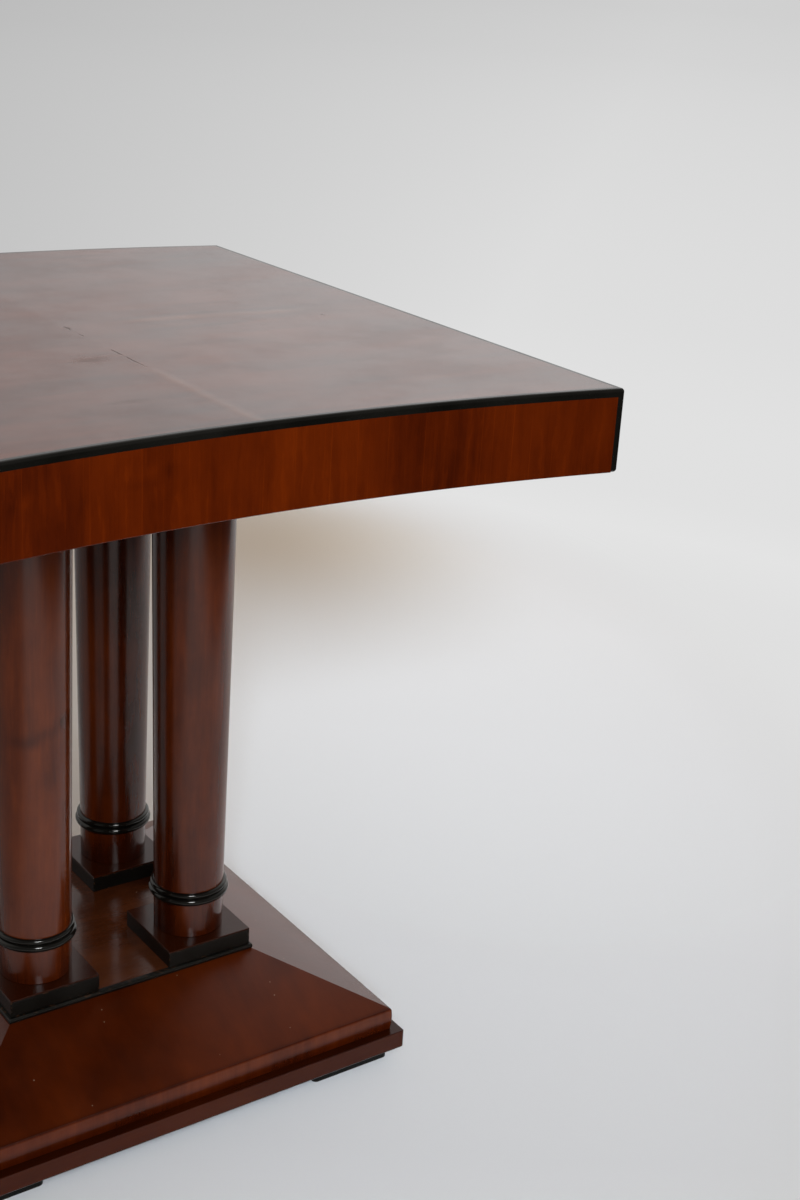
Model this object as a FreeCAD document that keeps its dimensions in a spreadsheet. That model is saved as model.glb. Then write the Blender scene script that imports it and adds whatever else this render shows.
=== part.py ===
import FreeCAD, Part
import math
import os
import Sketcher

# Side table: a veneered top with a hollow front and a round back, on four tapered columns
# that stand on black blocks on a stepped, sloping square base.
# Millimetres, +Z up. The origin is on the floor under the middle of the table; the hollow front faces -Y.

SIZES = [
    ("foot_side", 86.0, "plan side of a foot pad"),
    ("foot_height", 13.5, "height of a foot pad"),
    ("foot_inset", 11.0, "foot face behind the plinth face"),
    ("foot_corner", 3.0, "rounding of the upright edges of a foot"),
    ("plinth_step", 10.2, "ledge of the plinth in front of the moulding"),
    ("plinth_thick", 19.7, "thickness of the plinth board"),
    ("plinth_corner", 2.0, "rounding of the upright corners of the plinth"),
    ("plinth_round", 5.0, "rounding along the lower edge of the plinth"),
    ("mould_side", 454.0, "plan side of the moulding band at its upper edge"),
    ("mould_height", 22.3, "height of the moulding band"),
    ("mould_thick", 22.0, "thickness of the moulding band"),
    ("mould_rise", 1.5, "how far the face of the moulding swells"),
    ("slope_rise", 46.3, "height of the sloping panels"),
    ("slope_wall", 24.0, "level width of a sloping panel"),
    ("platform_ledge", 1.9, "platform edge outside the block faces"),
    ("platform_plug", 15.0, "part of the platform that drops between the slopes"),
    ("platform_skin", 5.0, "wood left under the column tenons"),
    ("edge_height", 4.9, "height of the black platform edge"),
    ("edge_thick", 4.0, "thickness of the black platform edge"),
    ("edge_rise", 0.8, "how far the black platform edge swells"),
    ("block_side", 88.0, "plan side of a column block"),
    ("block_height", 15.8, "height of a column block without its veneer"),
    ("cap_thick", 1.5, "veneer square on a block"),
    ("column_pitch", 161.4, "distance between column axes"),
    ("column_length", 556.0, "column without its tenons"),
    ("column_foot_dia", 66.4, "diameter at the foot of a column"),
    ("column_head_dia", 79.4, "diameter at the head of a column"),
    ("tenon_dia", 22.0, "turned tenon of a column"),
    ("tenon_relief", 0.5, "air at the end of a tenon"),
    ("fit_gap", 0.1, "glue gap round tenons, rings and plugs"),
    ("ring_lift", 36.0, "underside of a ring above the foot of its column"),
    ("bead_low", 3.5, "radius of the lower bead of a ring"),
    ("bead_low_seat", 1.4, "flat between column and lower bead"),
    ("bead_high", 2.75, "radius of the upper bead of a ring"),
    ("bead_high_seat", 0.4, "flat between column and upper bead"),
    ("top_width", 664.0, "width of the top"),
    ("top_depth", 678.0, "depth of the top from its front edge straight back to its back edge"),
    ("top_bow", 33.0, "rise of the plan curve of the front and back edges"),
    ("panel_thick", 18.5, "core board of the top"),
    ("panel_skin", 6.0, "wood left above the column tenons"),
    ("veneer_thick", 1.5, "veneer of the top"),
    ("lip_thick", 6.0, "thickness of the black edge strip"),
    ("lip_height", 7.0, "height of the black edge strip"),
    ("lip_round", 3.0, "rounding of the black edge strip and of the corners"),
    ("rail_height", 65.5, "height of the apron below the black edge strip"),
    ("rail_thick", 20.0, "thickness of the apron"),
    ("rail_round", 1.0, "rounding of the lower edge of the apron"),
    ("strip_side", 7.0, "section of the black corner strips"),
]

doc = FreeCAD.newDocument("SideTable")
sheet = doc.addObject("Spreadsheet::Sheet", "Sizes")
for row, (alias, number, note) in enumerate(SIZES, 1):
    sheet.set("A%d" % row, note)
    sheet.set("B%d" % row, str(number))
    sheet.setAlias("B%d" % row, alias)
doc.recompute()


class Length:
    """A length with its present value and the sheet expression that drives it."""

    def __init__(self, text, value):
        self.text = text
        self.value = float(value)

    def __add__(self, other):
        other = length(other)
        return Length("(%s + %s)" % (self.text, other.text), self.value + other.value)

    def __sub__(self, other):
        other = length(other)
        return Length("(%s - %s)" % (self.text, other.text), self.value - other.value)

    def __mul__(self, other):
        other = length(other)
        return Length("(%s * %s)" % (self.text, other.text), self.value * other.value)

    def __truediv__(self, other):
        other = length(other)
        return Length("(%s / %s)" % (self.text, other.text), self.value / other.value)

    def __neg__(self):
        return Length("(-1 * %s)" % self.text, -self.value)


def length(value):
    if isinstance(value, Length):
        return value
    return Length(repr(value), value)


def size(alias):
    return Length("Sizes." + alias, sheet.get(alias))


# Levels, from the floor up
plinth_z = size("foot_height")
mould_z = plinth_z + size("plinth_thick")
slope_z = mould_z + size("mould_height")
edge_z = slope_z + size("slope_rise")
block_z = edge_z + size("edge_height")
cap_z = block_z + size("block_height")
column_z = cap_z + size("cap_thick")
panel_z = column_z + size("column_length")
veneer_z = panel_z + size("panel_thick")
lip_z = veneer_z + size("veneer_thick") - size("lip_height")
rail_z = lip_z - size("rail_height")

# Plan sizes that several pieces share
mould_half = size("mould_side") / 2
mould_reach = mould_half + size("mould_rise")
plinth_half = mould_half + size("plinth_step")
pitch_half = size("column_pitch") / 2
edge_half = pitch_half + size("block_side") / 2 + size("platform_ledge")
board_half = edge_half - size("edge_thick")
plug_half = edge_half - size("slope_wall") - size("fit_gap")
top_half = size("top_width") / 2
lip = size("lip_thick")
rail = size("rail_thick")
strip = size("strip_side")
gap = size("fit_gap")
bow = size("top_bow")
curve = (top_half * top_half + bow * bow) / (bow * 2)
hole_radius = size("tenon_dia") / 2 + gap
platform_hole = size("edge_height") + size("platform_plug") - size("platform_skin")
panel_hole = size("panel_thick") - size("panel_skin")

PIECES = []


def new_body(label, x=None, y=None, z=None, turn=0):
    """A body of the document, turned about Z and set at a place that follows the sheet."""
    body = doc.addObject("PartDesign::Body", label)
    body.Label = label
    upright = FreeCAD.Vector(0, 0, 1)
    body.Placement = FreeCAD.Placement(FreeCAD.Vector(), FreeCAD.Rotation(upright, turn))
    for axis, value in (("x", x), ("y", y), ("z", z)):
        if value is not None:
            body.setExpression("Placement.Base." + axis, value.text)
    PIECES.append(body)
    return body


def new_sketch(body, name, role="XY_Plane", lift=None):
    sketch = body.newObject("Sketcher::SketchObject", body.Name + "_" + name)
    plane = [item for item in body.Origin.OriginFeatures if item.Role == role][0]
    sketch.AttachmentSupport = [(plane, "")]
    sketch.MapMode = "FlatFace"
    if lift is not None:
        sketch.setExpression("AttachmentOffset.Base.z", lift.text)
    return sketch


def drive(sketch, value, kind, *where):
    """Add a dimension to a sketch and tie it to the sheet."""
    index = sketch.addConstraint(Sketcher.Constraint(kind, *where, value.value))
    sketch.setExpression("Constraints[%d]" % index, value.text)


def fix_coordinate(sketch, geometry, point, value, kind, axis):
    if abs(value.value) < 1e-9:
        sketch.addConstraint(Sketcher.Constraint("PointOnObject", geometry, point, axis))
    elif value.value > 0:
        drive(sketch, value, kind, -1, 1, geometry, point)
    else:
        drive(sketch, -value, kind, geometry, point, -1, 1)


def fix_x(sketch, geometry, point, value):
    fix_coordinate(sketch, geometry, point, value, "DistanceX", -2)


def fix_y(sketch, geometry, point, value):
    fix_coordinate(sketch, geometry, point, value, "DistanceY", -1)


def vector(x, y):
    return FreeCAD.Vector(x.value, y.value, 0)


def join(sketch, first, first_point, second, second_point):
    sketch.addConstraint(Sketcher.Constraint("Coincident", first, first_point, second, second_point))


def outline(sketch, corners, bulges=None):
    """Closed outline through (x, y) corners. bulges gives the arc radius of a side by its number:
    that side swells to its right as the outline is walked. An upright side with the radius None
    is a half round."""
    bulges = bulges or {}
    corners = [(length(x), length(y)) for x, y in corners]
    count = len(corners)
    ends = []
    for index in range(count):
        start = vector(*corners[index])
        end = vector(*corners[(index + 1) % count])
        if index not in bulges:
            side = sketch.addGeometry(Part.LineSegment(start, end), False)
            ends.append((side, 1, 2))
            continue
        radius = bulges[index]
        chord = end - start
        normal = FreeCAD.Vector(chord.y, -chord.x, 0).normalize()
        reach = 0.0
        if radius is not None:
            reach = math.sqrt(radius.value ** 2 - (chord.Length / 2) ** 2)
        centre = (start + end) * 0.5 - normal * reach
        from_angle = math.atan2(start.y - centre.y, start.x - centre.x)
        to_angle = math.atan2(end.y - centre.y, end.x - centre.x)
        circle = Part.Circle(centre, FreeCAD.Vector(0, 0, 1), (start - centre).Length)
        side = sketch.addGeometry(Part.ArcOfCircle(circle, from_angle, to_angle), False)
        if radius is None:
            sketch.addConstraint(Sketcher.Constraint("Vertical", side, 1, side, 3))
        else:
            drive(sketch, radius, "Radius", side)
        ends.append((side, 1, 2))
    for index in range(count):
        side, first, last = ends[index]
        after, after_first, after_last = ends[(index + 1) % count]
        join(sketch, side, last, after, after_first)
    for index in range(count):
        side, first, last = ends[index]
        fix_x(sketch, side, first, corners[index][0])
        fix_y(sketch, side, first, corners[index][1])


def add_circle(sketch, x, y, radius):
    centre = vector(x, y)
    ring = sketch.addGeometry(Part.Circle(centre, FreeCAD.Vector(0, 0, 1), radius.value), False)
    drive(sketch, radius, "Radius", ring)
    fix_x(sketch, ring, 3, x)
    fix_y(sketch, ring, 3, y)


def square(half):
    return [(-half, -half), (half, -half), (half, half), (-half, half)]


def pad(body, sketch, thick):
    feature = body.newObject("PartDesign::Pad", sketch.Name + "_pad")
    feature.Profile = sketch
    feature.setExpression("Length", thick.text)
    sketch.Visibility = False
    return feature


def pocket(body, sketch, deep=None, upward=False):
    """Cut a sketch out of a body, to a depth or right through, and make sure that it cut."""
    doc.recompute()
    before = body.Shape.Volume
    feature = body.newObject("PartDesign::Pocket", sketch.Name + "_pocket")
    feature.Profile = sketch
    feature.Reversed = upward
    if deep is None:
        feature.Type = "ThroughAll"
    else:
        feature.setExpression("Length", deep.text)
    doc.recompute()
    if body.Shape.Volume > before - 1e-6:
        raise RuntimeError("nothing was cut from " + body.Label)
    return feature


def revolve(body, sketch):
    feature = body.newObject("PartDesign::Revolution", sketch.Name + "_turned")
    feature.Profile = sketch
    feature.ReferenceAxis = (sketch, ["V_Axis"])
    feature.Angle = 360.0
    return feature


def round_edges(body, radius, chosen):
    """Round the edges of a body's last feature that the test picks."""
    doc.recompute()
    base = body.Tip
    names = []
    for number, edge in enumerate(base.Shape.Edges, 1):
        if chosen(edge):
            names.append("Edge%d" % number)
    if not names:
        raise RuntimeError("no edge to round on " + body.Label)
    feature = body.newObject("PartDesign::Fillet", body.Name + "_round")
    feature.Base = (base, names)
    feature.setExpression("Radius", radius.text)
    return feature


def near(first, second):
    return abs(first - second) < 1e-4


def edge_middle(edge):
    return edge.valueAt((edge.FirstParameter + edge.LastParameter) / 2)


def is_upright(edge):
    start = edge.valueAt(edge.FirstParameter)
    end = edge.valueAt(edge.LastParameter)
    return near(start.x, end.x) and near(start.y, end.y)


def is_level(edge, height):
    return all(near(edge.valueAt(p).z, height) for p in (edge.FirstParameter, edge.LastParameter))


# Plan curves of the top. Each is a circle whose centre lies on the Y axis, far in front of the table.
def front_curve(inset):
    centre = -(size("top_depth") - bow) / 2 - curve
    return centre, curve + inset


def back_curve(inset):
    centre = (size("top_depth") + bow) / 2 - curve
    return centre, curve - inset


def seam_curve():
    return bow / 2 - curve, curve


def curve_y(plan, x):
    centre, radius = plan
    return centre.value + math.sqrt(radius.value ** 2 - x ** 2)


def cell(sketch, left, right, front, back):
    """Outline between two straight sides, left and right, and two plan curves, front and back."""
    upright = FreeCAD.Vector(0, 0, 1)
    arcs = []
    for plan in (front, back):
        centre, radius = plan
        middle = FreeCAD.Vector(0, centre.value, 0)
        angles = []
        for side in (right, left):
            angles.append(math.atan2(curve_y(plan, side.value) - centre.value, side.value))
        arc = Part.ArcOfCircle(Part.Circle(middle, upright, radius.value), angles[0], angles[1])
        arcs.append(sketch.addGeometry(arc, False))
    sides = []
    for side in (right, left):
        start = FreeCAD.Vector(side.value, curve_y(front, side.value), 0)
        end = FreeCAD.Vector(side.value, curve_y(back, side.value), 0)
        sides.append(sketch.addGeometry(Part.LineSegment(start, end), False))
    for arc, end in ((arcs[0], 1), (arcs[1], 2)):
        for side, point in ((sides[0], 1), (sides[1], 2)):
            join(sketch, arc, point, side, end)
    for arc, plan in zip(arcs, (front, back)):
        centre, radius = plan
        sketch.addConstraint(Sketcher.Constraint("PointOnObject", arc, 3, -2))
        fix_y(sketch, arc, 3, centre)
        drive(sketch, radius, "Radius", arc)
    for line, side in zip(sides, (right, left)):
        sketch.addConstraint(Sketcher.Constraint("Vertical", line))
        fix_x(sketch, line, 1, side)


def cell_body(label, z, left, right, front, back, thick):
    body = new_body(label, z=z)
    sketch = new_sketch(body, "plan")
    cell(sketch, left, right, front, back)
    pad(body, sketch, thick)
    return body


def on_curve(edge, plan):
    """True where an edge follows a plan curve."""
    points = [edge.valueAt(p) for p in (edge.FirstParameter, edge.LastParameter)]
    return all(near(point.y, curve_y(plan, point.x)) for point in points)


# Feet
corners = [("front_left", -1, -1), ("front_right", 1, -1), ("back_left", -1, 1), ("back_right", 1, 1)]
foot_centre = plinth_half - size("foot_inset") - size("foot_side") / 2
for name, side_x, side_y in corners:
    body = new_body("foot_" + name, x=foot_centre * side_x, y=foot_centre * side_y)
    sketch = new_sketch(body, "plan")
    outline(sketch, square(size("foot_side") / 2))
    pad(body, sketch, size("foot_height"))
    round_edges(body, size("foot_corner"), is_upright)

# Plinth board
plinth = new_body("plinth", z=plinth_z)
sketch = new_sketch(plinth, "plan")
outline(sketch, square(plinth_half))
pad(plinth, sketch, size("plinth_thick"))
round_edges(plinth, size("plinth_corner"), is_upright)
round_edges(plinth, size("plinth_round"), lambda edge: is_level(edge, 0))


def mitred_body(label, z, turn, profile, bulges=None):
    """One side of a square frame: a profile drawn over (y, z), run along X, mitred on the diagonals."""
    body = new_body(label, z=z, turn=turn)
    run = new_sketch(body, "profile", "YZ_Plane", lift=-mould_reach)
    outline(run, profile, bulges)
    pad(body, run, mould_reach * 2)
    reach = mould_reach * 2
    cut = new_sketch(body, "mitre")
    outline(cut, [(-reach, -reach), (length(0), length(0)), (reach, -reach), (reach, reach), (-reach, reach)])
    pocket(body, cut, upward=True)
    return body


def swell_radius(height, rise):
    return (height * height / 4 + rise * rise) / (rise * 2)


# Moulding band, sloping panels and black platform edge, four mitred sides each
zero = length(0)
sides = [("front", 0), ("right", 90), ("back", 180), ("left", 270)]
mould_back = mould_half - size("mould_thick")
mould_radius = swell_radius(size("mould_height"), size("mould_rise"))
edge_radius = swell_radius(size("edge_height"), size("edge_rise"))
slope_in_low = mould_half - size("slope_wall")
slope_in_high = edge_half - size("slope_wall")
for name, turn in sides:
    band = [
        (-mould_back, zero),
        (-mould_back, size("mould_height")),
        (-mould_half, size("mould_height")),
        (-mould_half, zero),
    ]
    mitred_body("moulding_" + name, mould_z, turn, band, {2: mould_radius})
    panel = [
        (-mould_half, zero),
        (-slope_in_low, zero),
        (-slope_in_high, size("slope_rise")),
        (-edge_half, size("slope_rise")),
    ]
    mitred_body("slope_" + name, slope_z, turn, panel)
    edging = [
        (-board_half, zero),
        (-board_half, size("edge_height")),
        (-edge_half, size("edge_height")),
        (-edge_half, zero),
    ]
    mitred_body("platform_edge_" + name, edge_z, turn, edging, {2: edge_radius})

# Platform board: a flange on the slopes and a plug between them, bored for the columns
platform = new_body("platform", z=edge_z - size("platform_plug"))
sketch = new_sketch(platform, "plug")
outline(sketch, square(plug_half))
pad(platform, sketch, size("platform_plug"))
sketch = new_sketch(platform, "flange", lift=size("platform_plug"))
outline(sketch, square(board_half))
pad(platform, sketch, size("edge_height"))
sketch = new_sketch(platform, "bores", lift=size("platform_plug") + size("edge_height"))
for name, side_x, side_y in corners:
    add_circle(sketch, pitch_half * side_x, pitch_half * side_y, hole_radius)
pocket(platform, sketch, platform_hole)

# Blocks, their veneer squares, the columns and their rings
foot_radius = size("column_foot_dia") / 2
head_radius = size("column_head_dia") / 2
tenon_radius = size("tenon_dia") / 2
foot_tenon = size("block_height") + size("cap_thick") + platform_hole - size("tenon_relief")
head_tenon = panel_hole - size("tenon_relief")
ring_height = (size("bead_low") + size("bead_high")) * 2


def column_radius(height):
    return foot_radius + (head_radius - foot_radius) * height / size("column_length")


bore_low = column_radius(size("ring_lift")) + gap
bore_high = column_radius(size("ring_lift") + ring_height) + gap
low_seat = bore_low + size("bead_low_seat")
high_seat = bore_high + size("bead_high_seat")
for name, side_x, side_y in corners:
    axis_x = pitch_half * side_x
    axis_y = pitch_half * side_y
    for label, level, thick in (
        ("block_" + name, block_z, size("block_height")),
        ("block_cap_" + name, cap_z, size("cap_thick")),
    ):
        body = new_body(label, x=axis_x, y=axis_y, z=level)
        sketch = new_sketch(body, "plan")
        outline(sketch, square(size("block_side") / 2))
        add_circle(sketch, zero, zero, hole_radius)
        pad(body, sketch, thick)
    column = new_body("column_" + name, x=axis_x, y=axis_y, z=column_z)
    sketch = new_sketch(column, "profile", "XZ_Plane")
    outline(sketch, [
        (zero, -foot_tenon),
        (tenon_radius, -foot_tenon),
        (tenon_radius, zero),
        (foot_radius, zero),
        (head_radius, size("column_length")),
        (tenon_radius, size("column_length")),
        (tenon_radius, size("column_length") + head_tenon),
        (zero, size("column_length") + head_tenon),
    ])
    revolve(column, sketch)
    ring = new_body("ring_" + name, x=axis_x, y=axis_y, z=column_z + size("ring_lift"))
    sketch = new_sketch(ring, "profile", "XZ_Plane")
    outline(sketch, [
        (bore_low, zero),
        (low_seat, zero),
        (low_seat, size("bead_low") * 2),
        (high_seat, size("bead_low") * 2),
        (high_seat, ring_height),
        (bore_high, ring_height),
    ], {1: None, 3: None})
    revolve(ring, sketch)

# Core board of the top: a plug inside the apron, a flange over it, bored for the columns
flange = size("lip_height") - size("veneer_thick")
panel_plug = size("panel_thick") - flange
panel = new_body("top_panel", z=panel_z)
sketch = new_sketch(panel, "plug")
inside = rail + gap
cell(sketch, -(top_half - inside), top_half - inside, front_curve(inside), back_curve(inside))
pad(panel, sketch, panel_plug)
sketch = new_sketch(panel, "flange", lift=panel_plug)
cell(sketch, -(top_half - lip), top_half - lip, front_curve(lip), back_curve(lip))
pad(panel, sketch, flange)
sketch = new_sketch(panel, "bores")
for name, side_x, side_y in corners:
    add_circle(sketch, pitch_half * side_x, pitch_half * side_y, hole_radius)
pocket(panel, sketch, panel_hole, upward=True)

# Four veneer leaves that meet on the middle line and on the curved seam
leaf_half = top_half - lip
for name, left, right in (("left", -leaf_half, zero), ("right", zero, leaf_half)):
    thick = size("veneer_thick")
    cell_body("top_veneer_front_" + name, veneer_z, left, right, front_curve(lip), seam_curve(), thick)
    cell_body("top_veneer_back_" + name, veneer_z, left, right, seam_curve(), back_curve(lip), thick)

# Black edge strip: the front and back pieces run from side to side, the others fit between them
flush = zero
front_face = front_curve(flush)
back_face = back_curve(flush)
lip_top = size("lip_height").value
long_strips = (
    ("front", (front_face, front_curve(lip)), front_face),
    ("back", (back_curve(lip), back_face), back_face),
)
for name, plan, outer in long_strips:
    body = cell_body("lipping_" + name, lip_z, -top_half, top_half, *plan, size("lip_height"))

    def strip_edge(edge):
        middle = edge_middle(edge)
        at_end = near(abs(middle.x), top_half.value)
        if is_upright(edge):
            return at_end and near(middle.y, curve_y(outer, middle.x))
        return is_level(edge, lip_top) and (at_end or on_curve(edge, outer))

    round_edges(body, size("lip_round"), strip_edge)
for name, left, right, hand in (("left", -top_half, -leaf_half, -1), ("right", leaf_half, top_half, 1)):
    body = cell_body("lipping_" + name, lip_z, left, right, front_curve(lip), back_curve(lip),
                     size("lip_height"))
    face = top_half.value * hand
    round_edges(body, size("lip_round"),
                lambda edge: is_level(edge, lip_top) and near(edge_middle(edge).x, face))

# Apron: the side rails lie behind the lapped ends of the front and back rails
rail_half = top_half - rail
lap_half = top_half - strip
rails = (
    ("front", (front_face, front_curve(rail)), (front_face, front_curve(strip)), front_face),
    ("back", (back_curve(rail), back_face), (back_curve(strip), back_face), back_face),
)
for name, plan, lap, outer in rails:
    body = cell_body("apron_" + name, rail_z, -rail_half, rail_half, *plan, size("rail_height"))
    sketch = new_sketch(body, "laps")
    cell(sketch, -lap_half, lap_half, *lap)
    pad(body, sketch, size("rail_height"))
    round_edges(body, size("rail_round"), lambda edge: is_level(edge, 0) and on_curve(edge, outer))
for name, left, right, hand in (("left", -top_half, -rail_half, -1), ("right", rail_half, top_half, 1)):
    body = cell_body("apron_" + name, rail_z, left, right, front_curve(strip), back_curve(strip),
                     size("rail_height"))
    face = top_half.value * hand
    round_edges(body, size("rail_round"),
                lambda edge: is_level(edge, 0) and near(edge_middle(edge).x, face))

# Black strips down the corners of the apron
for name, side_x, side_y in corners:
    left, right = (lap_half, top_half) if side_x > 0 else (-top_half, -lap_half)
    if side_y < 0:
        plan, outer = (front_face, front_curve(strip)), front_face
    else:
        plan, outer = (back_curve(strip), back_face), back_face
    body = cell_body("corner_strip_" + name, rail_z, left, right, *plan, size("rail_height"))
    face = top_half.value * side_x

    def corner_edge(edge):
        middle = edge_middle(edge)
        if is_upright(edge):
            return near(middle.x, face) and near(middle.y, curve_y(outer, face))
        return is_level(edge, 0) and (near(middle.x, face) or on_curve(edge, outer))

    round_edges(body, size("lip_round"), corner_edge)

# Check everything, then write each piece
doc.recompute()
faults = []
for item in doc.Objects:
    if "Invalid" in item.State or "Error" in item.State:
        faults.append(item.Name + " is " + " ".join(item.State))
for body in PIECES:
    shape = body.Shape
    if shape.isNull() or not shape.isValid() or len(shape.Solids) != 1:
        faults.append(body.Label + " is not one sound solid")
if faults:
    raise RuntimeError("; ".join(faults))

os.makedirs("parts", exist_ok=True)
for body in PIECES:
    body.Shape.exportStep(os.path.join("parts", body.Label + ".step"))
box = FreeCAD.BoundBox()
for body in PIECES:
    box.add(body.Shape.optimalBoundingBox())
low = [round(value, 2) for value in (box.XMin, box.YMin, box.ZMin)]
high = [round(value, 2) for value in (box.XMax, box.YMax, box.ZMax)]
print("pieces", len(PIECES), "box from", low, "to", high)
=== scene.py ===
import math
from collections import namedtuple

import bpy
from mathutils import Matrix, Vector


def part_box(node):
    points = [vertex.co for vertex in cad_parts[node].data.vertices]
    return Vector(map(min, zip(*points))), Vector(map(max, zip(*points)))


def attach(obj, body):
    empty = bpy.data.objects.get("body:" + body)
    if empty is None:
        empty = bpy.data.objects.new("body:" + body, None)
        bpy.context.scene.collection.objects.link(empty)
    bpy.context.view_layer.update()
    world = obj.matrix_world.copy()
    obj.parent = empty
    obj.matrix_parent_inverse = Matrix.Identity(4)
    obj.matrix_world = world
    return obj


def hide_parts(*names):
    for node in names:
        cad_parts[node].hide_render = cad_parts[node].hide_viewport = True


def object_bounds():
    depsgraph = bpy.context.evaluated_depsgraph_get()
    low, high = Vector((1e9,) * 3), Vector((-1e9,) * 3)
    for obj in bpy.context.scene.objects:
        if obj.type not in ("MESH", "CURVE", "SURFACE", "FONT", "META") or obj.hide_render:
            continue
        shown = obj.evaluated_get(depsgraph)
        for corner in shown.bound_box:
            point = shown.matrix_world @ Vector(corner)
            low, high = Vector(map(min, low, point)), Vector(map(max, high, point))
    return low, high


# Side table: a quarter-veneered top with a hollow front, black edge strips and an upright-grained
# apron, on four polished columns with black rings, over a stepped base with sloping faces.
# Metres, +Z up, the hollow front towards -Y, as in the frame.

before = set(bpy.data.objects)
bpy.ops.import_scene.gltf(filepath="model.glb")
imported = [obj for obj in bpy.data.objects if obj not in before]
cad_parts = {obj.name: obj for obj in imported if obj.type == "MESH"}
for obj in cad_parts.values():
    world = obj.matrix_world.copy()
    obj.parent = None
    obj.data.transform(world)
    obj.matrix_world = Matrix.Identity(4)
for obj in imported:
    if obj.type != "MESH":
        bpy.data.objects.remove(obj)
cad_low, cad_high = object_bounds()

MM = 0.001
HALF = (0.5, 0.5, 0.5)
WHITE = (1.0, 1.0, 1.0)
CORNERS = ("front_left", "front_right", "back_left", "back_right")
SIDES = (("front", 0), ("right", 90), ("back", 180), ("left", 270))


def inverse(lengths):
    """One over each length."""
    return tuple(1.0 / length for length in lengths)


# Node graphs
class Graph:
    """The node tree of one material or of the world, with short calls to add and join nodes."""

    def __init__(self, owner):
        owner.use_nodes = True
        self.tree = owner.node_tree
        self.tree.nodes.clear()

    def put(self, socket, value):
        """Link a socket to another one, or set it to a plain value."""
        if isinstance(value, bpy.types.NodeSocket):
            self.tree.links.new(value, socket)
        else:
            socket.default_value = value

    def add(self, kind, inputs=None, **settings):
        """A new node with the given settings and inputs."""
        node = self.tree.nodes.new("ShaderNode" + kind)
        for key, value in settings.items():
            setattr(node, key, value)
        for key, value in (inputs or {}).items():
            self.put(node.inputs[key], value)
        return node

    def math(self, operation, *values, clamp=False):
        """Result of one operation on numbers."""
        node = self.add("Math", operation=operation, use_clamp=clamp)
        for socket, value in zip(node.inputs, values):
            self.put(socket, value)
        return node.outputs[0]

    def joined(self, operation, values):
        """All the values joined by one operation, in their order."""
        made = values[0]
        for value in values[1:]:
            made = self.math(operation, made, value)
        return made

    def product(self, *values):
        """All the values multiplied."""
        return self.joined("MULTIPLY", values)

    def vector(self, operation, *values):
        """Result of one operation on vectors: a number for a length or a dot product."""
        node = self.add("VectorMath", operation=operation)
        for socket, value in zip(node.inputs, values):
            self.put(socket, value)
        return node.outputs["Value" if operation in ("LENGTH", "DOT_PRODUCT") else "Vector"]

    def axes(self, place):
        """The X, Y and Z parts of a place, a direction or a colour."""
        return self.add("SeparateXYZ", {"Vector": place}).outputs

    def distance(self, place, centre, reach=(1.0, 1.0, 1.0)):
        """Distance from a centre, counted in the reach along each axis."""
        away = self.vector("SUBTRACT", place, centre)
        return self.vector("LENGTH", self.vector("MULTIPLY", away, inverse(reach)))

    def noise(self, place, pitch, detail, rough, output=0):
        """Noise of 0 to 1, or three of them as a colour, with features about pitch metres long."""
        scaled = self.vector("MULTIPLY", place, inverse(pitch))
        made = self.add("TexNoise", {"Vector": scaled, "Scale": 1.0, "Detail": detail, "Roughness": rough})
        return made.outputs[output]

    def fit(self, value, low, high, new_low=0.0, new_high=1.0, smooth=True):
        """A value between two bounds moved between two new ones, and held at them outside."""
        kind = "SMOOTHSTEP" if smooth else "LINEAR"
        made = self.add("MapRange", {
            "Value": value, "From Min": low, "From Max": high, "To Min": new_low, "To Max": new_high,
        }, interpolation_type=kind)
        return made.outputs[0]

    def centred(self, value, gain):
        """A value of 0 to 1 turned into a plus or minus change of the given gain."""
        return self.product(self.math("SUBTRACT", value, 0.5), gain)

    def bell(self, span):
        """Soft bump of 1 at the middle that falls off with the span."""
        return self.math("EXPONENT", self.product(span, span, -1.0))

    def ramp(self, value, stops):
        """Colour at a value, between stops of a value and a colour."""
        made = self.add("ValToRGB", {"Fac": value})
        points = made.color_ramp.elements
        while len(points) < len(stops):
            points.new(0.5)
        for point, (position, colour) in zip(points, stops):
            point.position = position
            point.color = (*colour, 1.0)
        return made.outputs["Color"]

    def mix(self, factor, first, second):
        """Colour that goes from the first to the second as the factor goes from 0 to 1."""
        made = self.add("Mix", data_type="RGBA")
        self.put(made.inputs["Factor"], factor)
        colours = [socket for socket in made.inputs if socket.type == "RGBA"]
        for socket, value in zip(colours, (first, second)):
            self.put(socket, value if isinstance(value, bpy.types.NodeSocket) else (*value, 1.0))
        return [socket for socket in made.outputs if socket.type == "RGBA"][0]

    def bump(self, height, depth, normal=None):
        """Normal of a surface whose relief of 0 to 1 is depth metres deep."""
        made = self.add("Bump", {"Strength": 1.0, "Distance": depth, "Height": height})
        if normal is not None:
            self.put(made.inputs["Normal"], normal)
        return made.outputs["Normal"]

    def blend(self, factor, first, second):
        """Shader that goes from the first to the second as the factor goes from 0 to 1."""
        return self.add("MixShader", {0: factor, 1: first.outputs[0], 2: second.outputs[0]})

    def finish(self, shader, output="OutputMaterial"):
        """Send a shader to the output of the tree."""
        out = self.add(output)
        self.put(out.inputs["Surface"], shader.outputs[0])


def new_material(name):
    """A material, its empty graph, and the socket that gives each point's place in metres."""
    material = bpy.data.materials.new(name)
    graph = Graph(material)
    return material, graph, graph.add("TexCoord").outputs["Object"]


def polished(graph, colour, gloss, normal, shine, tint):
    """Surface under polish; shine and tint are the strength and the hue of its reflections."""
    graph.finish(graph.add("BsdfPrincipled", {
        "Base Color": colour, "Roughness": gloss, "Normal": normal,
        "Specular IOR Level": shine, "Specular Tint": (*tint, 1.0),
    }))


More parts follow.
